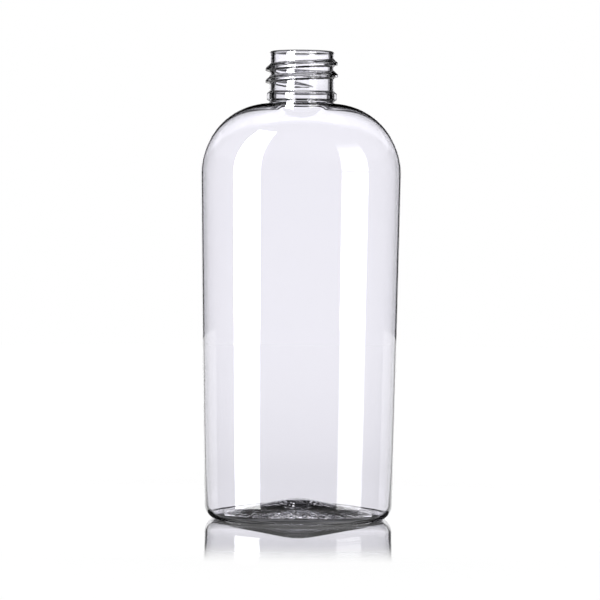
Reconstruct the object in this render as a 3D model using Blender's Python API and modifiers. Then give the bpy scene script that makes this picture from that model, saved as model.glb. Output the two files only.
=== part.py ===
"""Clear plastic oval bottle with a 20 mm continuous-thread neck, empty and without its closure.

The real bottle is one piece: a preform whose neck is injection moulded, and whose lower part is then
stretched and blown into the oval body. So this model is one object as well. The outside is a loft from
the stepped base, through the oval body, to the round neck. The neck ring is a turned profile and the
thread is a swept one. Both are joined to the outside. The cavity is the same loft, moved in by the
wall's thickness, with its own floor, and it is cut from the rest.

Metres, +Z up. The origin is the middle of the ring that the bottle stands on. X is the wide way.
"""

import math

import bmesh
import bpy
from mathutils import Vector

# Whole bottle
BOTTLE_HEIGHT = 0.1257
FINISH_HEIGHT = 0.0138

# Oval body, outside. A section's power is that of its superellipse, and 2 is a plain ellipse or circle
BODY_WIDTH = 0.0538
BODY_DEPTH = 0.0330
BASE_WIDTH = 0.0507
BASE_DEPTH = 0.0312
SECTION_POWER = 2.15
TAPER_POWER = 0.8

# Shoulder, outside. The broad faces slope into the neck, and meet it lower down than the narrow ends
SHOULDER_HEIGHT = 0.0189
SHOULDER_POWER = 2.03
FRONT_DROP = 0.0021
FRONT_SHOULDER_POWER = 2.2
NECK_FILLET = 0.0010

# Heel: a quarter ellipse, which rises higher on the broad faces than on the narrow ends
HEEL_RUN = 0.0031
HEEL_RISE = 0.0040
FRONT_HEEL_RISE = 0.0055

# Standing ring and push-up base, outside
RING_WIDTH = 0.0016
PUSH_UP_HEIGHT = 0.0029
PUSH_UP_POWER = 1.1
BASE_DISC_DIAMETER = 0.0128
BASE_STEPS = 3
STEP_HEIGHT = 0.00035
STEP_RISER_RUN = 0.0002
GATE_DIAMETER = 0.0030
GATE_HEIGHT = 0.0007

# Walls. The stretched wall is thin and even over the body, and thickens towards the heel and the neck
BODY_WALL = 0.0005
HEEL_WALL = 0.0009
HEEL_WALL_REACH = 0.0165
SHOULDER_WALL = 0.00065
SHOULDER_THICKENING_POWER = 4.0
BORE_FLARE_HEIGHT = 0.0007
BASE_WALL = 0.0011
FLOOR_CROWN_DIAMETER = 0.0064
FLOOR_POWER = 1.15
FLOOR_EDGE_INSET = 0.0024

# Neck
NECK_DIAMETER = 0.0175
BORE_DIAMETER = 0.0150
LIP_ROUND = 0.0005
MOUTH_ROUND = 0.0002

# Thread: right-hand, steep under its crest and sloping above it, fading into the neck at both ends
THREAD_DIAMETER = 0.0196
THREAD_PITCH = 0.003175
THREAD_START_DEPTH = 0.0030
THREAD_TURNS = 1.92
THREAD_START_ANGLE = 37.0
THREAD_CREST_WIDTH = 0.0005
THREAD_CREST_ROUND = 0.00015
THREAD_UPPER_FLANK = 0.0011
THREAD_LOWER_FLANK = 0.0004
RUN_OUT_TURNS = 0.16
RUN_OUT_END_SHARE = 0.1

# Plain ring under the thread, with a flat crest between two slopes
NECK_RING_DIAMETER = 0.0189
NECK_RING_HEIGHT = 0.0027
NECK_RING_GAP = 0.0004
NECK_RING_TOP_SLOPE = 0.0006
NECK_RING_FOOT_SLOPE = 0.0005

# How finely curves are drawn, and how close two levels or two welded points may lie
SIDES = 56
SHOULDER_LEVELS = 11
BODY_LEVELS = 6
HEEL_LEVELS = 4
PUSH_UP_LEVELS = 5
ROUND_LEVELS = 2
THREAD_POINTS_PER_TURN = 36
LEAST_STEP = 0.00008
WELD_DISTANCE = 0.000002

# One overrun serves the cut at the mouth, and one overlap serves every join
CUT_OVERRUN = 0.0020
JOIN_OVERLAP = 0.0006

NECK_RADIUS = NECK_DIAMETER / 2
BORE_RADIUS = BORE_DIAMETER / 2
NECK_WALL = NECK_RADIUS - BORE_RADIUS
NECK_FOOT = BOTTLE_HEIGHT - FINISH_HEIGHT
WIDEST_LEVEL = NECK_FOOT - SHOULDER_HEIGHT
HEEL_TOP = max(HEEL_RISE, FRONT_HEEL_RISE)
DISC_RADIUS = BASE_DISC_DIAMETER / 2
CROWN_RADIUS = FLOOR_CROWN_DIAMETER / 2
GATE_RADIUS = GATE_DIAMETER / 2


def new_collection(name):
    collection = bpy.data.collections.new(name)
    bpy.context.scene.collection.children.link(collection)
    return collection


def clear_plastic():
    """Clear polyester, as its pellets and the finished wall look."""
    material = bpy.data.materials.new("clear_plastic")
    material.use_nodes = True
    shader = material.node_tree.nodes["Principled BSDF"]
    shader.inputs["Base Color"].default_value = (0.95, 0.96, 0.98, 1.0)
    shader.inputs["Roughness"].default_value = 0.03
    shader.inputs["Metallic"].default_value = 0.0
    shader.inputs["IOR"].default_value = 1.575
    shader.inputs["Transmission Weight"].default_value = 1.0
    return material


def put(name, mesh, collection):
    thing = bpy.data.objects.new(name, mesh)
    collection.objects.link(thing)
    return thing


def quarter_turns(steps):
    """Sine and cosine at each step of a quarter turn, its start left out."""
    angles = [step / steps * math.pi / 2 for step in range(1, steps + 1)]
    return [(math.sin(angle), math.cos(angle)) for angle in angles]


def spaced(heights):
    """The heights in order, without any that nearly repeats the one before it."""
    kept = []
    for height in sorted(heights):
        if not kept or height - kept[-1] > LEAST_STEP:
            kept.append(height)
    return kept


def body_level(height):
    """(half width, half depth, height, power) of the body's outside, below the shoulder."""
    share = (height - HEEL_TOP) / (WIDEST_LEVEL - HEEL_TOP)
    swell = max(share, 0.0) ** TAPER_POWER
    across = BASE_WIDTH + (BODY_WIDTH - BASE_WIDTH) * swell
    deep = BASE_DEPTH + (BODY_DEPTH - BASE_DEPTH) * swell
    return (across / 2, deep / 2, height, SECTION_POWER)


def shoulder_levels():
    """From above the widest level to the neck's foot. The last sections lie inside the neck in part."""
    end = NECK_RADIUS - NECK_FILLET
    front_rise = SHOULDER_HEIGHT - FRONT_DROP
    rises = [SHOULDER_HEIGHT - BORE_FLARE_HEIGHT / 2]
    for up, rest in quarter_turns(SHOULDER_LEVELS):
        rises.append(SHOULDER_HEIGHT * up ** (2 / SHOULDER_POWER))
    levels = []
    for rise in spaced(rises):
        out = (1 - min(rise / SHOULDER_HEIGHT, 1.0) ** SHOULDER_POWER) ** (1 / SHOULDER_POWER)
        inset = (BODY_DEPTH / 2 - NECK_RADIUS) * (rise / front_rise) ** FRONT_SHOULDER_POWER
        power = 2 + (SECTION_POWER - 2) * out
        across = end + (BODY_WIDTH / 2 - end) * out
        levels.append((across, BODY_DEPTH / 2 - inset, WIDEST_LEVEL + rise, power))
    return levels


def heel_inset(height, rise):
    """How far the wall has drawn in at this height, on its way down to the standing ring."""
    down = max(1 - height / rise, 0.0)
    return HEEL_RUN * (1 - math.sqrt(1 - down**2))


def heel_levels():
    """From the level where the bottle stands up to the foot of the body."""
    across, deep = body_level(HEEL_TOP)[:2]
    heights = [0.0]
    for up, rest in quarter_turns(HEEL_LEVELS):
        heights += [HEEL_RISE * (1 - rest), FRONT_HEEL_RISE * (1 - rest)]
    levels = []
    for height in spaced(heights):
        if height < HEEL_TOP - LEAST_STEP:
            insets = (heel_inset(height, HEEL_RISE), heel_inset(height, FRONT_HEEL_RISE))
            levels.append((across - insets[0], deep - insets[1], height, SECTION_POWER))
    return levels


def wall_levels():
    """The outside of the wall, from the standing ring to just under the rounded lip."""
    levels = heel_levels()
    for step in range(BODY_LEVELS + 1):
        levels.append(body_level(HEEL_TOP + (WIDEST_LEVEL - HEEL_TOP) * step / BODY_LEVELS))
    levels += shoulder_levels()
    levels.append((NECK_RADIUS, NECK_RADIUS, BOTTLE_HEIGHT - LIP_ROUND, 2))
    return levels


def wall_thickness(height):
    if height > WIDEST_LEVEL:
        share = min((height - WIDEST_LEVEL) / SHOULDER_HEIGHT, 1.0)
        thickened = BODY_WALL + (SHOULDER_WALL - BODY_WALL) * share**SHOULDER_THICKENING_POWER
        flare = min(max(1 - (NECK_FOOT - height) / BORE_FLARE_HEIGHT, 0.0), 1.0)
        return thickened + (NECK_WALL - thickened) * flare
    share = min(height / HEEL_WALL_REACH, 1.0)
    return BODY_WALL + (HEEL_WALL - BODY_WALL) * (1 - share) ** 2


def push_up_levels(across, deep, middle, foot, rise, dome_power):
    """From a dome's oval foot, inwards and up, to the round middle."""
    levels = []
    for step in range(PUSH_UP_LEVELS + 1):
        out = 1 - step / PUSH_UP_LEVELS
        height = foot + rise * (1 - out**dome_power)
        power = 2 + (SECTION_POWER - 2) * out
        levels.append((middle + (across - middle) * out, middle + (deep - middle) * out, height, power))
    return levels


def base_plate_levels():
    """The round plate in the middle of the base: the gate's stub, then steps down to the dome."""
    gate_face = PUSH_UP_HEIGHT - GATE_HEIGHT
    levels = [(GATE_RADIUS - STEP_RISER_RUN, GATE_RADIUS - STEP_RISER_RUN, gate_face, 2)]
    levels.append((GATE_RADIUS, GATE_RADIUS, PUSH_UP_HEIGHT, 2))
    tread = (DISC_RADIUS - GATE_RADIUS) / (BASE_STEPS + 1)
    for step in range(1, BASE_STEPS + 1):
        radius = GATE_RADIUS + tread * step
        height = PUSH_UP_HEIGHT - STEP_HEIGHT * step
        levels.append((radius, radius, height + STEP_HEIGHT, 2))
        levels.append((radius + STEP_RISER_RUN, radius + STEP_RISER_RUN, height, 2))
    return levels


def lip_levels(radius, roundness, turned_in):
    """The rounded edge of the lip, on its outside or at the mouth."""
    levels = []
    for up, rest in quarter_turns(ROUND_LEVELS):
        rounded = radius + turned_in * roundness * (1 - rest)
        levels.append((rounded, rounded, BOTTLE_HEIGHT - roundness * (1 - up), 2))
    return levels


def ring_points(level):
    """Points round a level section. In the shoulder none lies nearer the axis than the neck."""
    across, deep, height, power = level
    points = []
    for side in range(SIDES):
        angle = 2 * math.pi * side / SIDES
        x = across * math.copysign(abs(math.cos(angle)) ** (2 / power), math.cos(angle))
        y = deep * math.copysign(abs(math.sin(angle)) ** (2 / power), math.sin(angle))
        radius = math.hypot(x, y)
        wanted = radius
        if WIDEST_LEVEL < height <= NECK_FOOT + LEAST_STEP:
            near = max(1 - abs(radius - NECK_RADIUS) / NECK_FILLET, 0.0)
            wanted = max(radius, NECK_RADIUS) + NECK_FILLET * near**2 / 4
        points.append(Vector((x * wanted / radius, y * wanted / radius, height)))
    return points


def moved_in(rings):
    """The same rings, moved square to the surface by the wall's thickness at their height."""
    inner = []
    for index, ring in enumerate(rings):
        below = rings[max(index - 1, 0)]
        above = rings[min(index + 1, len(rings) - 1)]
        points = []
        for side, point in enumerate(ring):
            along = ring[(side + 1) % SIDES] - ring[side - 1]
            outwards = along.cross(above[side] - below[side]).normalized()
            points.append(point - outwards * wall_thickness(point.z))
        inner.append(points)
    return inner


def outside_rings():
    """The outside from the middle of the base, out, up the body and the neck, to the lip."""
    wall = wall_levels()
    foot_across, foot_deep = wall[0][:2]
    plate_height = PUSH_UP_HEIGHT - BASE_STEPS * STEP_HEIGHT
    inner = (foot_across - RING_WIDTH, foot_deep - RING_WIDTH)
    dome = push_up_levels(*inner, DISC_RADIUS, 0.0, plate_height, PUSH_UP_POWER)
    levels = base_plate_levels() + dome[::-1] + wall + lip_levels(NECK_RADIUS, LIP_ROUND, -1)
    return [ring_points(level) for level in levels]


def cavity_rings():
    """The inside from the middle of the floor, out, up the body and the bore, and past the lip."""
    wall = wall_levels()
    foot_across, foot_deep = wall[0][:2]
    rise = PUSH_UP_HEIGHT + BASE_WALL - HEEL_WALL
    inner = (foot_across - FLOOR_EDGE_INSET, foot_deep - FLOOR_EDGE_INSET)
    dome = push_up_levels(*inner, CROWN_RADIUS, HEEL_WALL, rise, FLOOR_POWER)
    lip = [(BORE_RADIUS, BORE_RADIUS, BOTTLE_HEIGHT - MOUTH_ROUND, 2)]
    lip += lip_levels(BORE_RADIUS, MOUTH_ROUND, 1)
    mouth = lip[-1][0]
    lip.append((mouth, mouth, BOTTLE_HEIGHT + CUT_OVERRUN, 2))
    rings = [ring_points(level) for level in dome[::-1]]
    rings += moved_in([ring_points(level) for level in wall])
    return rings + [ring_points(level) for level in lip]


def loft(name, outlines, collection):
    """A closed body through rings of points, one for each level."""
    shape = bmesh.new()
    rings = [[shape.verts.new(point) for point in outline] for outline in outlines]
    for lower, upper in zip(rings, rings[1:]):
        for side in range(SIDES):
            after = (side + 1) % SIDES
            shape.faces.new((lower[side], lower[after], upper[after], upper[side]))
    shape.faces.new(rings[0][::-1])
    shape.faces.new(rings[-1])
    mesh = bpy.data.meshes.new(name)
    shape.to_mesh(mesh)
    shape.free()
    return put(name, mesh, collection)


def neck_ring(collection):
    """The plain ring under the thread, turned round the neck's axis."""
    low = NECK_FOOT + NECK_RING_GAP
    high = low + NECK_RING_HEIGHT
    radius = NECK_RING_DIAMETER / 2
    buried = NECK_RADIUS - JOIN_OVERLAP
    outline = [(buried, high), (NECK_RADIUS, high), (radius, high - NECK_RING_TOP_SLOPE)]
    outline += [(radius, low + NECK_RING_FOOT_SLOPE), (NECK_RADIUS, low), (buried, low)]
    shape = bmesh.new()
    corners = [shape.verts.new((across, 0.0, up)) for across, up in outline]
    for first, second in zip(corners, corners[1:] + corners[:1]):
        shape.edges.new((first, second))
    mesh = bpy.data.meshes.new("neck_ring")
    shape.to_mesh(mesh)
    shape.free()
    ring = put("neck_ring", mesh, collection)
    # Half a facet round, so that its edges cross the neck's facets and don't lie along their edges
    ring.rotation_euler.z = math.pi / SIDES
    turned = ring.modifiers.new("turned", "SCREW")
    turned.steps = SIDES
    turned.render_steps = SIDES
    turned.use_merge_vertices = True
    turned.merge_threshold = WELD_DISTANCE
    return ring


def thread_profile(collection):
    """The thread's section, which a curve carries with its -X side facing out of the neck.

    Its flanks run on below the neck's surface, so that the two bodies overlap.
    """
    proud = (THREAD_DIAMETER - NECK_DIAMETER) / 2
    half_crest = THREAD_CREST_WIDTH / 2

    def upper(out):
        return half_crest + THREAD_UPPER_FLANK * (proud - out) / proud

    def lower(out):
        return -half_crest - THREAD_LOWER_FLANK * (proud - out) / proud

    edge = proud - THREAD_CREST_ROUND
    corners = [
        (-JOIN_OVERLAP, upper(-JOIN_OVERLAP)),
        (-JOIN_OVERLAP, lower(-JOIN_OVERLAP)),
        (edge, lower(edge)),
        (proud, THREAD_CREST_ROUND - half_crest),
        (proud, half_crest - THREAD_CREST_ROUND),
        (edge, upper(edge)),
    ]
    curve = bpy.data.curves.new("thread_profile", "CURVE")
    curve.dimensions = "2D"
    curve.fill_mode = "NONE"
    line = curve.splines.new("POLY")
    line.points.add(len(corners) - 1)
    for point, (out, up) in zip(line.points, corners):
        point.co = (-out, up, 0.0, 1.0)
    line.use_cyclic_u = True
    return put("thread_profile", curve, collection)


def thread(collection):
    """The right-hand helix, swept with the profile above and fading into the neck at both ends."""
    profile = thread_profile(collection)
    curve = bpy.data.curves.new("thread", "CURVE")
    curve.dimensions = "3D"
    curve.twist_mode = "Z_UP"
    curve.bevel_mode = "OBJECT"
    curve.bevel_object = profile
    curve.use_fill_caps = True
    count = round(THREAD_TURNS * THREAD_POINTS_PER_TURN) + 1
    line = curve.splines.new("POLY")
    line.points.add(count - 1)
    for index, point in enumerate(line.points):
        turns = THREAD_TURNS * index / (count - 1)
        angle = math.radians(THREAD_START_ANGLE) - 2 * math.pi * turns
        height = BOTTLE_HEIGHT - THREAD_START_DEPTH - THREAD_PITCH * turns
        point.co = (NECK_RADIUS * math.cos(angle), NECK_RADIUS * math.sin(angle), height, 1.0)
        end_share = min(turns, THREAD_TURNS - turns) / RUN_OUT_TURNS
        risen = math.sin(min(end_share, 1.0) * math.pi / 2)
        point.radius = RUN_OUT_END_SHARE + (1 - RUN_OUT_END_SHARE) * risen
    swept = put("thread_path", curve, collection)
    bpy.context.view_layer.update()
    graph = bpy.context.evaluated_depsgraph_get()
    mesh = bpy.data.meshes.new_from_object(swept.evaluated_get(graph))
    shape = bmesh.new()
    shape.from_mesh(mesh)
    bmesh.ops.remove_doubles(shape, verts=shape.verts, dist=WELD_DISTANCE)
    bmesh.ops.recalc_face_normals(shape, faces=shape.faces)
    shape.to_mesh(mesh)
    shape.free()
    solid = put("thread", mesh, collection)
    solid.matrix_world = swept.matrix_world
    bpy.data.objects.remove(swept)
    bpy.data.objects.remove(profile)
    return solid


def hide_helper(helper):
    helper.hide_render = True
    helper.display_type = "WIRE"


def combine(bottle, other, operation):
    join = bottle.modifiers.new(other.name, "BOOLEAN")
    join.operation = operation
    join.solver = "EXACT"
    join.object = other
    hide_helper(other)


for left_over in list(bpy.data.objects):
    bpy.data.objects.remove(left_over)

shown = new_collection("oval_bottle")
helpers = new_collection("cutters")
helpers.hide_render = True

bottle = loft("bottle", outside_rings(), shown)
bottle.data.materials.append(clear_plastic())
combine(bottle, thread(helpers), "UNION")
combine(bottle, neck_ring(helpers), "UNION")
combine(bottle, loft("cavity", cavity_rings(), helpers), "DIFFERENCE")
bottle.data.shade_smooth()
bottle.data.set_sharp_from_angle(angle=math.radians(35))
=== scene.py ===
"""Looks of a clear plastic oval bottle: the moulded wall, and the white studio it is seen in."""
import math

import bpy
import numpy
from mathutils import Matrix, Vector


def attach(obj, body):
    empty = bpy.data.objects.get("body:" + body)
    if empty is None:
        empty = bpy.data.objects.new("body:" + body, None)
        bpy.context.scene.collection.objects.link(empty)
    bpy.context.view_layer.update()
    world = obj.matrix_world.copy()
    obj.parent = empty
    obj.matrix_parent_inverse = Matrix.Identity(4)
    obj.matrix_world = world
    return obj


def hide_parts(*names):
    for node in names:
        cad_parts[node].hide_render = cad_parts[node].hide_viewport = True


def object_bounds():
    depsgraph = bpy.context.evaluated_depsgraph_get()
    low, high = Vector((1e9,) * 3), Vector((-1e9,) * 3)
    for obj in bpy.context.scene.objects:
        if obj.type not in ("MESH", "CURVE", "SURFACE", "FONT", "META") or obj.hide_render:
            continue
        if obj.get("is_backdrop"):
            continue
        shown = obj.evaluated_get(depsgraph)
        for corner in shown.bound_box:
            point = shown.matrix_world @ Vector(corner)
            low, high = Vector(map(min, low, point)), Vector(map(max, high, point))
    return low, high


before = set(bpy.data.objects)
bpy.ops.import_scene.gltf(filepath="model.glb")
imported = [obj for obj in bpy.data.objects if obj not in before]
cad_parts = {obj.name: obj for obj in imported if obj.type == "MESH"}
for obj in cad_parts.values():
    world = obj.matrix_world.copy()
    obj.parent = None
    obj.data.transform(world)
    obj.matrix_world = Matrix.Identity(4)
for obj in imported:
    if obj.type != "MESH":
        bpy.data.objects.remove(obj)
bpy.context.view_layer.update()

# Bottle wall
# The bottle is one piece of clear polyester. Its neck, thread and neck ring are injection moulded as
# part of a preform, which is then heated, stretched and blown into the oval body with its raised base.
bottle_height = 0.1257
finish_height = 0.0138

body_width = 0.0538
body_depth = 0.0330
base_width = 0.0507
base_depth = 0.0312
section_power = 2.15
taper_power = 0.8

shoulder_height = 0.0189
shoulder_power = 2.03
front_drop = 0.0021
front_shoulder_power = 2.2
neck_fillet = 0.0010

heel_run = 0.0031
heel_rise = 0.0040
front_heel_rise = 0.0055

ring_width = 0.0016
push_up_height = 0.0036
push_up_power = 1.1
base_disc_radius = 0.0064
base_steps = 3
step_height = 0.00035
step_run = 0.0002
step_edge_share = 0.2
gate_radius = 0.0015
gate_height = 0.0007

body_wall = 0.0005
heel_wall = 0.0009
heel_wall_reach = 0.0165
shoulder_wall = 0.00065
shoulder_thickening_power = 12.0
bore_flare_height = 0.0007
base_wall = 0.0011
floor_crown_radius = 0.0032
floor_power = 1.15
floor_edge_inset = 0.0024

neck_radius = 0.00875
bore_radius = 0.0075
lip_round = 0.0007
mouth_round = 0.0002

thread_radius = 0.0098
thread_pitch = 0.003175
thread_start_depth = 0.0030
thread_turns = 1.92
thread_start_angle = math.radians(37)
thread_crest_width = 0.0005
thread_upper_flank = 0.0011
thread_lower_flank = 0.0004
thread_straight_share = 0.4
run_out_turns = 0.16
run_out_end_share = 0.1

neck_ring_radius = 0.00945
neck_ring_height = 0.0027
neck_ring_gap = 0.0004
neck_ring_slope = 0.0006
neck_ring_foot_slope = 0.0005
neck_ring_round = 0.0001

sides = 192
shoulder_steps = 60
body_steps = 40
heel_steps = 14
dome_steps = 24
lip_steps = 5
finish_steps = 160
sharp_edge_angle = math.radians(50)

neck_foot = bottle_height - finish_height
neck_wall = neck_radius - bore_radius
widest_level = neck_foot - shoulder_height
heel_top = max(heel_rise, front_heel_rise)


def quarter_turns(steps):
    """Sine and cosine at each step of a quarter turn, its start left out."""
    angles = [step / steps * math.pi / 2 for step in range(1, steps + 1)]
    return [(math.sin(angle), math.cos(angle)) for angle in angles]


def body_section(height):
    share = max((height - heel_top) / (widest_level - heel_top), 0.0)
    swell = share ** taper_power
    across = base_width + (body_width - base_width) * swell
    deep = base_depth + (body_depth - base_depth) * swell
    return (across / 2, deep / 2, height, section_power)


def wall_thickness(height):
    """The stretched wall is thin and even over the body, and thickens at the heel and into the neck."""
    if height > widest_level:
        share = min((height - widest_level) / shoulder_height, 1.0)
        thickened = body_wall + (shoulder_wall - body_wall) * share ** shoulder_thickening_power
        flare = min(max(1 - (neck_foot - height) / bore_flare_height, 0.0), 1.0)
        return thickened + (neck_wall - thickened) * flare * flare * (3 - 2 * flare)
    share = min(height / heel_wall_reach, 1.0)
    return body_wall + (heel_wall - body_wall) * (1 - share) ** 2


def shoulder_sections():
    """From the widest level to inside the neck. The front slopes into the neck, below the ends."""
    end = neck_radius - neck_fillet
    front_rise = shoulder_height - front_drop
    sections = []
    for up, rest in quarter_turns(shoulder_steps):
        rise = shoulder_height * up ** (2 / shoulder_power)
        out = rest ** (2 / shoulder_power)
        inset = (body_depth / 2 - neck_radius) * (rise / front_rise) ** front_shoulder_power
        sections.append((end + (body_width / 2 - end) * out, body_depth / 2 - inset, widest_level + rise,
                         2 + (section_power - 2) * out))
    return sections


def heel_inset(height, rise):
    down = max(1 - height / rise, 0.0)
    return heel_run * (1 - math.sqrt(1 - down ** 2))


def heel_sections():
    """From the standing ring up to the body's foot."""
    across, deep = body_section(heel_top)[:2]
    sections = []
    for up, rest in [(0.0, 1.0)] + quarter_turns(heel_steps)[:-1]:
        height = heel_top * (1 - rest)
        sections.append((across - heel_inset(height, heel_rise), deep - heel_inset(height, front_heel_rise),
                         height, section_power))
    return sections


def dome_sections(across, deep, middle, foot, rise, dome_power):
    """The raised base, from its round middle out to its oval foot."""
    sections = []
    for step in range(dome_steps + 1):
        out = step / dome_steps
        height = foot + rise * (1 - out ** dome_power)
        power = 2 + (section_power - 2) * out
        sections.append((middle + (across - middle) * out, middle + (deep - middle) * out, height, power))
    return sections


def round_section(radius, height):
    return (radius, radius, height, 2)


def base_plate_sections():
    """The round plate in the middle of the base: the gate's stub, and steps down to the dome."""
    sections = [round_section(gate_radius / 2, push_up_height - gate_height)]
    sections.append(round_section(gate_radius - step_run, push_up_height - gate_height))
    sections.append(round_section(gate_radius, push_up_height - gate_height + step_run))
    sections.append(round_section(gate_radius, push_up_height - step_run))
    sections.append(round_section(gate_radius + step_run, push_up_height))
    tread = (base_disc_radius - gate_radius) / (base_steps + 1)
    for step in range(1, base_steps + 1):
        radius = gate_radius + tread * step
        height = push_up_height - step_height * step
        sections.append(round_section(radius - step_run, height + step_height))
        sections.append(round_section(radius, height + step_height * (1 - step_edge_share)))
        sections.append(round_section(radius + step_run / 2, height + step_height * step_edge_share))
        sections.append(round_section(radius + step_run, height))
    return sections


def lip_sections(radius, rounding):
    """The rounded edge of the lip. The rounding is negative where it turns towards the axis."""
    start = bottle_height - abs(rounding)
    sections = [round_section(radius, start)]
    for up, rest in quarter_turns(lip_steps):
        sections.append(round_section(radius + rounding * (1 - rest), start + abs(rounding) * up))
    return sections


def thread_stand(angle, height):
    """How far the thread stands out of the neck here. Its upper flank slopes and its lower one is steep."""
    proud = thread_radius - neck_radius
    start = (thread_start_angle - angle) / (2 * math.pi)
    stand = 0.0
    for lap in range(-1, 4):
        turns = start + lap
        if not 0 < turns < thread_turns:
            continue
        end_share = min(turns, thread_turns - turns) / run_out_turns
        size = run_out_end_share + (1 - run_out_end_share) * math.sin(min(end_share, 1.0) * math.pi / 2)
        above = (height - (bottle_height - thread_start_depth - thread_pitch * turns)) / size
        flank = thread_upper_flank if above > 0 else thread_lower_flank
        share = min(max(1 - (abs(above) - thread_crest_width / 2) / flank, 0.0), 1.0)
        rounded = share * share * (3 - 2 * share)
        shape = thread_straight_share * share + (1 - thread_straight_share) * rounded
        stand = max(stand, proud * size * shape)
    return stand


def neck_ring_stand(height):
    """The neck ring slopes out of the neck at its top and its foot, and its edges are rounded."""
    low = neck_foot + neck_ring_gap
    high = low + neck_ring_height
    proud = neck_ring_radius - neck_radius
    reach = proud * min((high - height) / neck_ring_slope, (height - low) / neck_ring_foot_slope)
    near = max(1 - abs(proud - reach) / neck_ring_round, 0.0)
    return max(min(proud, reach) - neck_ring_round * near ** 2 / 4, 0.0)


def ring_points(section):
    """Points round a section. In the shoulder none lies nearer the axis than the neck."""
    across, deep, height, power = section
    points = []
    for side in range(sides):
        angle = 2 * math.pi * side / sides
        x = across * math.copysign(abs(math.cos(angle)) ** (2 / power), math.cos(angle))
        y = deep * math.copysign(abs(math.sin(angle)) ** (2 / power), math.sin(angle))
        radius = math.hypot(x, y)
        wanted = radius
        if widest_level < height <= neck_foot:
            near = max(1 - abs(radius - neck_radius) / neck_fillet, 0.0)
            wanted = max(radius, neck_radius) + neck_fillet * near ** 2 / 4
        points.append((x * wanted / radius, y * wanted / radius, height))
    return points


def moulded(point):
    """The same point with the thread and the neck ring on it."""
    x, y, height = point
    if height <= neck_foot:
        return point
    stand = max(thread_stand(math.atan2(y, x), height), neck_ring_stand(height))
    grown = 1 + stand / math.hypot(x, y)
    return (x * grown, y * grown, height)


wall_sections = heel_sections()
foot_across, foot_deep = wall_sections[0][:2]
for step in range(body_steps + 1):
    wall_sections.append(body_section(heel_top + (widest_level - heel_top) * step / body_steps))
wall_sections += shoulder_sections()
finish_rise = finish_height - lip_round
for step in range(1, finish_steps):
    wall_sections.append(round_section(neck_radius, neck_foot + finish_rise * step / finish_steps))

outside = numpy.array([ring_points(section) for section in wall_sections])
along = numpy.roll(outside, -1, axis=1) - numpy.roll(outside, 1, axis=1)
normals = numpy.cross(along, numpy.gradient(outside, axis=0))
normals /= numpy.linalg.norm(normals, axis=2, keepdims=True)
thickness = numpy.array([wall_thickness(section[2]) for section in wall_sections])
inside = outside - normals * thickness[:, None, None]

points = []
plate_height = push_up_height - base_steps * step_height
for section in base_plate_sections() + dome_sections(foot_across - ring_width, foot_deep - ring_width,
                                                     base_disc_radius, 0.0, plate_height, push_up_power):
    points += ring_points(section)
points += [moulded(point) for point in outside.reshape(-1, 3)]
for section in lip_sections(neck_radius, -lip_round) + list(reversed(lip_sections(bore_radius, mouth_round))):
    points += ring_points(section)
points += [tuple(point) for point in inside[::-1].reshape(-1, 3)]
floor_rise = push_up_height + base_wall - heel_wall
for section in reversed(dome_sections(foot_across - floor_edge_inset, foot_deep - floor_edge_inset,
                                      floor_crown_radius, heel_wall, floor_rise, floor_power)):
    points += ring_points(section)
rings = len(points) // sides
faces = []
for ring in range(rings - 1):
    for side in range(sides):
        after = (side + 1) % sides
        low, high = ring * sides, (ring + 1) * sides
        faces.append((low + side, low + after, high + after, high + side))
faces.append(tuple(reversed(range(sides))))
faces.append(tuple(range((rings - 1) * sides, rings * sides)))
wall_mesh = bpy.data.meshes.new("bottle_wall")
wall_mesh.from_pydata(points, [], faces)
wall_mesh.update()
wall_mesh.shade_smooth()
wall_mesh.set_sharp_from_angle(angle=sharp_edge_angle)
bottle_wall = bpy.data.objects.new("bottle_wall", wall_mesh)
bpy.context.scene.collection.objects.link(bottle_wall)

refractive_index = 1.575
wave_size = 0.012
wave_height = 0.000004
ripple_size = 0.0011
ripple_height = 0.00005
ripple_foot = 0.44
ripple_crest = 0.60
ripple_edge = 0.0115
ripple_edge_fade = 0.00115
ripple_narrow_share = 0.62
ripple_top = 0.006
ripple_top_fade = 0.001
plate_edge_fade = 0.00128
clear_tint = (0.970, 0.963, 0.999, 1.0)
deep_tint = (0.960, 0.955, 0.996, 1.0)
clear_plastic = bpy.data.materials.new("clear_polyester")
clear_plastic.use_nodes = True
nodes, links = clear_plastic.node_tree.nodes, clear_plastic.node_tree.links
shader = nodes["Principled BSDF"]
shader.inputs["Roughness"].default_value = 0.0
shader.inputs["IOR"].default_value = refractive_index
shader.inputs["Transmission Weight"].default_value = 1.0


def feed(socket, value):
    if isinstance(value, (int, float)):
        socket.default_value = value
    else:
        links.new(value, socket)


def maths(operation, first, second=None):
    node = nodes.new("ShaderNodeMath")
    node.operation = operation
    feed(node.inputs[0], first)
    if second is not None:
        feed(node.inputs[1], second)
    return node.outputs[0]


def ramp(value, start, end, low=0.0, high=1.0):
    """A smooth step from low to high as the value goes from start up to end."""
    node = nodes.new("ShaderNodeMapRange")
    node.interpolation_type = "SMOOTHSTEP"
    feed(node.inputs["Value"], value)
    feed(node.inputs["From Min"], start)
    feed(node.inputs["From Max"], end)
    feed(node.inputs["To Min"], low)
    feed(node.inputs["To Max"], high)
    return node.outputs[0]


def times(first, second):
    return maths("MULTIPLY", first, second)


def either(first, second):
    return maths("MAXIMUM", first, second)


def without(value):
    return maths("SUBTRACT", 1.0, value)


def length(first, second):
    return maths("SQRT", maths("ADD", times(first, first), times(second, second)))


def noise(size, detail):
    """Soft lumps of about this size, from 0 to 1."""
    node = nodes.new("ShaderNodeTexNoise")
    node.inputs["Scale"].default_value = 1 / size
    node.inputs["Detail"].default_value = detail
    links.new(on_bottle.outputs["Object"], node.inputs["Vector"])
    return node.outputs["Fac"]


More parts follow.
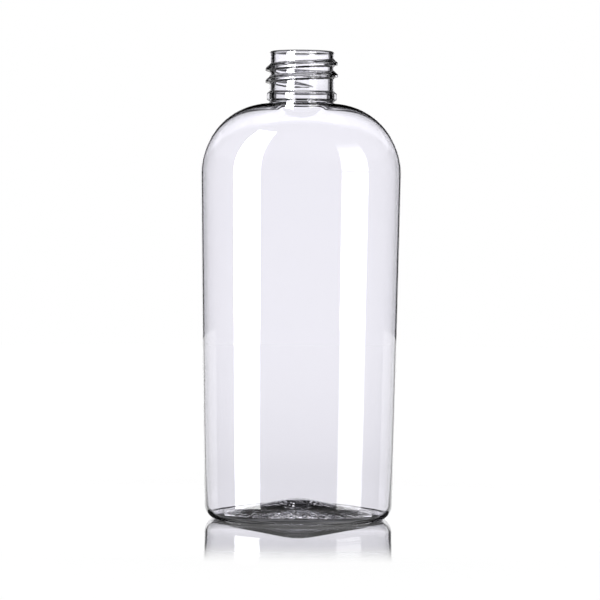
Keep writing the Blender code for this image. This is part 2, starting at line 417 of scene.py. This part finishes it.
# The stretched wall is very slightly wavy. The base is hardly stretched, and is rippled round its plate
on_bottle = nodes.new("ShaderNodeTexCoord")
place = nodes.new("ShaderNodeSeparateXYZ")
links.new(on_bottle.outputs["Object"], place.inputs[0])
from_middle = length(times(place.outputs["X"], ripple_narrow_share), place.outputs["Y"])
in_base = times(ramp(from_middle, ripple_edge - ripple_edge_fade, ripple_edge + ripple_edge_fade, 1.0, 0.0),
                ramp(place.outputs["Z"], ripple_top, ripple_top + ripple_top_fade, 1.0, 0.0))
off_plate = ramp(from_middle, base_disc_radius - plate_edge_fade, base_disc_radius)
lumps = times(ramp(noise(ripple_size, 2.0), ripple_foot, ripple_crest), ripple_height)
ripples = times(times(lumps, in_base), off_plate)
bump = nodes.new("ShaderNodeBump")
bump.inputs["Strength"].default_value = 1.0
bump.inputs["Distance"].default_value = 1.0
links.new(maths("ADD", times(noise(wave_size, 1.0), wave_height), ripples), bump.inputs["Height"])
links.new(bump.outputs["Normal"], shader.inputs["Normal"])
tint = nodes.new("ShaderNodeMix")
tint.data_type = "RGBA"
tint.inputs["A"].default_value = clear_tint
tint.inputs["B"].default_value = deep_tint
links.new(noise(wave_size * 2, 2.0), tint.inputs["Factor"])
links.new(tint.outputs["Result"], shader.inputs["Base Color"])
wall_mesh.materials.append(clear_plastic)

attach(bottle_wall, "root")
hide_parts("bottle")

# Table
# A wide round sheet of glossy white plastic, laid flat under the bottle. It mirrors the bottle close by, and
# the mirror image fades out to white. Through the plastic it looks duller: shallow views mirror the backdrop,
# and in steep ones it glows with painted shade: dark behind the bottle, grey in front, and painted shade with
# painted highlights under its base.
table_radius = 0.60
table_sides = 128
table_gap = 0.00002
sheet_white = (0.98, 0.98, 0.98, 1.0)
sheet_glow_share = 0.7
sheet_glow_level = 1.03

mirror_full = 0.040
mirror_gone = 0.070
mirror_narrow_share = 0.4
mirror_share = 0.94
mirror_image_level = 0.74
mirror_roughness = 0.02
dull_mirror_near = 0.90
dull_mirror_far = 0.835
shallow_angle = math.radians(18.0)
steep_angle = math.radians(20.0)

# Painted shade on the table, seen steeply through the plastic: dark near the bottle and far off behind it,
# grey in front
shade_half_angle = math.radians(60)
shade_start = 0.020
near_shade_radius = 0.035
near_shade_fade = 0.0105
far_shade_place = 0.235
far_shade_fade = 0.0141
dive_start_angle = math.radians(29.0)
dive_full_angle = math.radians(33.35)
plunge_start_angle = math.radians(62.4)
plunge_full_angle = math.radians(78.0)
painted_shade_level = 0.004
open_table_level = 0.90
front_shade_near = 0.10
front_shade_far = 0.16
front_near_level = 0.35
front_far_level = 0.20

# Painted shade and painted highlights on the table under the base, seen through the plastic
footprint_radius = 0.020
footprint_fade = 0.002
streak_size = 0.0030
streak_across_share = 0.08
streak_low, streak_high = 0.40, 0.60
painted_streak_shade_level, painted_streak_light_level = 0.03, 0.18
bright_line_place = -0.0032
bright_line_core = 0.0006
bright_line_edge = 0.0012
painted_line_level = 1.6
grey_fade = 0.002
speck_size = 0.0024
speck_along_share = 0.35
speck_low, speck_high = 0.60, 0.66
painted_speck_level = 2.2
rim_across, rim_across_full = 0.014, 0.017
rim_along, rim_along_full = 0.0105, 0.0125

bpy.ops.mesh.primitive_circle_add(vertices=table_sides, radius=table_radius, fill_type="NGON")
table = bpy.context.object
table.name = "table"
table.location.z = -table_gap
glossy_white = bpy.data.materials.new("glossy_white_sheet")
glossy_white.use_nodes = True
nodes, links = glossy_white.node_tree.nodes, glossy_white.node_tree.links
nodes.clear()


def choose(share, first, second):
    node = nodes.new("ShaderNodeMixShader")
    feed(node.inputs[0], share)
    links.new(first, node.inputs[1])
    links.new(second, node.inputs[2])
    return node.outputs[0]


def glow(level):
    node = nodes.new("ShaderNodeEmission")
    node.inputs["Color"].default_value = (1.0, 1.0, 1.0, 1.0)
    feed(node.inputs["Strength"], level)
    return node.outputs[0]


def mirror(level):
    grey = nodes.new("ShaderNodeCombineColor")
    for channel in ("Red", "Green", "Blue"):
        feed(grey.inputs[channel], level)
    node = nodes.new("ShaderNodeBsdfGlossy")
    node.inputs["Roughness"].default_value = mirror_roughness
    links.new(grey.outputs[0], node.inputs["Color"])
    return node.outputs[0]


def drawn_out_noise(size, across_share, along_share, detail):
    """Noise on the table from 0 to 1, drawn out in the direction that has a small share."""
    drawn_out = nodes.new("ShaderNodeCombineXYZ")
    links.new(times(across, across_share), drawn_out.inputs["X"])
    links.new(times(along, along_share), drawn_out.inputs["Y"])
    node = nodes.new("ShaderNodeTexNoise")
    node.inputs["Scale"].default_value = 1 / size
    node.inputs["Detail"].default_value = detail
    links.new(drawn_out.outputs[0], node.inputs["Vector"])
    return node.outputs["Fac"]


def steeper(start_angle, full_angle):
    """1 where the view dips to the table by more than the full angle, 0 where by less than the start."""
    return ramp(facing.outputs["Facing"], 1 - math.sin(full_angle), 1 - math.sin(start_angle), 1.0, 0.0)


place = nodes.new("ShaderNodeNewGeometry")
parts = nodes.new("ShaderNodeSeparateXYZ")
links.new(place.outputs["Position"], parts.inputs[0])
across, along = parts.outputs["X"], parts.outputs["Y"]
off_axis = maths("ABSOLUTE", across)
distance = length(across, along)
oval_distance = length(times(across, mirror_narrow_share), along)
facing = nodes.new("ShaderNodeLayerWeight")
facing.inputs["Blend"].default_value = 0.5
rays = nodes.new("ShaderNodeLightPath")

# Seen directly: the white sheet with the mirror image
plain = nodes.new("ShaderNodeBsdfDiffuse")
plain.inputs["Color"].default_value = sheet_white
pale = choose(sheet_glow_share, plain.outputs[0], glow(sheet_glow_level))
image_share = ramp(oval_distance, mirror_full, mirror_gone, mirror_share, 0.0)
seen_direct = choose(image_share, pale, mirror(mirror_image_level))

# Seen steeply through the plastic, painted shade glows on the table: dark behind the bottle, with the open
# table round it, and grey in front
near_painted_shade = ramp(distance, near_shade_radius, near_shade_radius + near_shade_fade, 1.0, 0.0)
far_painted_shade = ramp(distance, far_shade_place, far_shade_place + far_shade_fade)
painted_shade = either(either(near_painted_shade, far_painted_shade), steeper(dive_start_angle, dive_full_angle))
painted_shade = times(painted_shade, without(steeper(plunge_start_angle, plunge_full_angle)))
painted_shade_glow = ramp(painted_shade, 0.0, 1.0, open_table_level, painted_shade_level)
nearer = times(along, -1.0)
painted_front_shade = ramp(nearer, front_shade_near, front_shade_far, front_near_level, front_far_level)
behind = maths("LESS_THAN", off_axis, times(maths("ADD", along, shade_start), math.tan(shade_half_angle)))
steep_view = choose(behind, glow(painted_front_shade), glow(painted_shade_glow))

# Under the base, painted shade and painted highlights glow on the table: grey streaks in front, a bright
# line, and a dark patch with specks and a pale rim behind
painted_streaks = ramp(drawn_out_noise(streak_size, streak_across_share, 1.0, 2.0), streak_low, streak_high,
               painted_streak_shade_level, painted_streak_light_level)
from_line = maths("ABSOLUTE", maths("SUBTRACT", along, bright_line_place))
painted_bright_line = ramp(from_line, bright_line_core, bright_line_edge, painted_line_level, 0.0)
painted_specks = ramp(drawn_out_noise(speck_size, 1.0, speck_along_share, 1.0), speck_low, speck_high, 0.0, painted_speck_level)
painted_pale_rim = either(ramp(off_axis, rim_across, rim_across_full), ramp(along, rim_along, rim_along_full))
past_line = ramp(along, bright_line_place, bright_line_place + grey_fade)
painted_base_shade = either(times(painted_streaks, without(past_line)), times(either(painted_specks, painted_pale_rim), past_line))
painted_base_shade = glow(either(painted_base_shade, painted_bright_line))
steep_view = choose(maths("LESS_THAN", distance, footprint_radius), steep_view, painted_base_shade)

# Seen through the plastic at a shallow angle: a duller mirror
shallow = times(without(steeper(shallow_angle, steep_angle)),
                ramp(distance, footprint_radius, footprint_radius + footprint_fade))
dull_mirror = mirror(ramp(distance, 0.0, table_radius, dull_mirror_near, dull_mirror_far))
seen_in_plastic = choose(shallow, steep_view, dull_mirror)
surface = nodes.new("ShaderNodeOutputMaterial")
links.new(choose(rays.outputs["Is Glossy Ray"], seen_direct, seen_in_plastic), surface.inputs["Surface"])
table.data.materials.append(glossy_white)
table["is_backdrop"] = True

# Studio
# A lit white backdrop behind, just wider than the view, black cards round it, and two tall softboxes in
# front to the left and right, whose reflections are the two white stripes on the body. Its places are
# angles in degrees as seen from the bottle: aside from straight behind it, lift and tilt from level.
backdrop_left = 22.0
backdrop_right = 20.0
backdrop_side_fade = 3.0
backdrop_top = 10.5
backdrop_foot = -7.0
backdrop_end_fade = 2.0
mirrored_backdrop_rise = 12.0
backdrop_low_level = 1.11
backdrop_high_level = 1.35
brighter_start, brighter_full = 2.2, 3.0
dimmer_start, dimmer_full = 3.5, 9.0
dimmer_share = 0.8

softbox_near = 124.0
softbox_far = 152.0
softbox_side_fade = 1.5
softbox_foot = -60.0
softbox_foot_fade = 5.0
left_softbox_top = 60.0
left_softbox_top_fade = 4.0
left_softbox_level = 22.0
right_softbox_top_start, right_softbox_top_full = 10.0, 50.0
right_softbox_level = 6.0
neck_lift = 2.9
neck_lift_core, neck_lift_edge = 1.0, 1.6
neck_softbox_share = 0.25
longest_softbox_path = 4.5

card_end = 78.0
card_end_fade = 6.0
card_top = 17.0
card_top_fade = 3.0
card_side, card_side_full = 33.0, 39.0
mirrored_sides_level = 1.17
front_start, front_full = 70.0, 110.0
front_side = 90.0
front_level = 0.005
dark_level = 0.003
off_sheet_level = 1.40

studio = bpy.data.worlds.new("studio")
bpy.context.scene.world = studio
studio.use_nodes = True
nodes, links = studio.node_tree.nodes, studio.node_tree.links
nodes.clear()
direction = nodes.new("ShaderNodeTexCoord")
axes = nodes.new("ShaderNodeSeparateXYZ")
links.new(direction.outputs["Generated"], axes.inputs[0])
turn = times(maths("ARCTAN2", axes.outputs["X"], axes.outputs["Y"]), math.degrees(1))
aside = maths("ABSOLUTE", turn)
lift = times(maths("ARCSINE", axes.outputs["Z"]), math.degrees(1))
tilt = maths("ABSOLUTE", lift)
on_left = maths("LESS_THAN", turn, 0.0)
on_right = without(on_left)

# What a ray met last: the table, which is slightly rough, or the plastic, which is perfectly smooth
rays = nodes.new("ShaderNodeLightPath")
bent_or_mirrored = rays.outputs["Is Glossy Ray"]
leaving = rays.outputs["Is Transmission Ray"]
mirrored = rays.outputs["Glossy Depth"]
in_plastic = maths("GREATER_THAN", rays.outputs["Transmission Depth"], 0.5)
mirrored_once = maths("LESS_THAN", mirrored, 1.5)
off_sheet = times(bent_or_mirrored, without(either(rays.outputs["Is Singular Ray"], leaving)))
straight_through = either(times(leaving, maths("LESS_THAN", mirrored, 0.5)),
                          times(times(off_sheet, in_plastic), mirrored_once))
ahead = maths("LESS_THAN", aside, front_side)
sheet_only = times(times(off_sheet, without(in_plastic)), either(ahead, mirrored_once))
reflected = times(bent_or_mirrored, without(either(straight_through, sheet_only)))

# The backdrop, which reaches higher in the table's mirror
top = maths("ADD", backdrop_top, times(off_sheet, mirrored_backdrop_rise))
level = times(ramp(lift, top, maths("ADD", top, backdrop_end_fade), 1.0, 0.0),
              ramp(lift, backdrop_foot - backdrop_end_fade, backdrop_foot))
width = either(times(on_left, ramp(aside, backdrop_left, backdrop_left + backdrop_side_fade, 1.0, 0.0)),
               times(on_right, ramp(aside, backdrop_right, backdrop_right + backdrop_side_fade, 1.0, 0.0)))
brightness = times(ramp(lift, brighter_start, brighter_full, backdrop_low_level, backdrop_high_level),
                   ramp(lift, dimmer_start, dimmer_full, 1.0, dimmer_share))
backdrop = times(times(width, level), brightness)

# The softboxes. The right one fades towards its top, and is dim as the neck mirrors it
from_neck_lift = maths("ABSOLUTE", maths("SUBTRACT", lift, neck_lift))
left_softbox = ramp(lift, left_softbox_top, left_softbox_top + left_softbox_top_fade, left_softbox_level, 0.0)
right_softbox = times(ramp(lift, right_softbox_top_start, right_softbox_top_full, right_softbox_level, 0.0),
                      ramp(from_neck_lift, neck_lift_core, neck_lift_edge, neck_softbox_share, 1.0))
softboxes = either(times(on_left, left_softbox), times(on_right, right_softbox))
softboxes = times(softboxes, ramp(aside, softbox_near, softbox_near + softbox_side_fade))
softboxes = times(softboxes, ramp(aside, softbox_far, softbox_far + softbox_side_fade, 1.0, 0.0))
softboxes = times(softboxes, ramp(lift, softbox_foot, softbox_foot + softbox_foot_fade))
softboxes = times(softboxes, maths("LESS_THAN", rays.outputs["Ray Depth"], longest_softbox_path))

# The white studio past the ends, the tops and the feet of the black cards
past_ends = ramp(aside, card_end, card_end + card_end_fade)
past_tops = times(ramp(aside, card_side, card_side_full), ramp(tilt, card_top, card_top + card_top_fade))
sides_level = ramp(off_sheet, 0.0, 1.0, 1.0, mirrored_sides_level)
white_sides = times(either(past_ends, past_tops), sides_level)
seen_through = either(either(backdrop, white_sides), softboxes)
front_fill = times(ramp(aside, front_start, front_full), front_level)
seen_reflected = either(either(backdrop, front_fill), either(softboxes, dark_level))


def light(strength):
    node = nodes.new("ShaderNodeBackground")
    node.inputs["Color"].default_value = (1.0, 1.0, 1.0, 1.0)
    feed(node.inputs["Strength"], strength)
    return node.outputs[0]


lights = choose(sheet_only, light(1.0), light(off_sheet_level))
lights = choose(straight_through, lights, light(seen_through))
lights = choose(reflected, lights, light(seen_reflected))
sky = nodes.new("ShaderNodeOutputWorld")
links.new(lights, sky.inputs["Surface"])
bpy.context.scene.view_settings.view_transform = "Standard"

# Camera
# A camera on a stand, a little over half a metre in front of the bottle and above its middle. It looks
# slightly down, and is turned by half a degree.
camera_distance = 0.570
camera_height = 0.0915
look_at = Vector((0.0, 0.0, 0.0591))
view_height = 0.1613
camera_roll = math.radians(0.5)
nearest_seen = 0.01
farthest_seen = 10.0
camera_data = bpy.data.cameras.new("camera")
camera = bpy.data.objects.new("camera", camera_data)
bpy.context.scene.collection.objects.link(camera)
camera.location = (0.0, -camera_distance, camera_height)
aim = (look_at - camera.location).to_track_quat("-Z", "Y")
camera.rotation_euler = aim.to_euler()
camera.rotation_euler.rotate_axis("Z", camera_roll)
camera_data.lens = camera_data.sensor_width * camera_distance / view_height
camera_data.clip_start = nearest_seen
camera_data.clip_end = farthest_seen
bpy.context.scene.camera = camera

low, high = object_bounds()
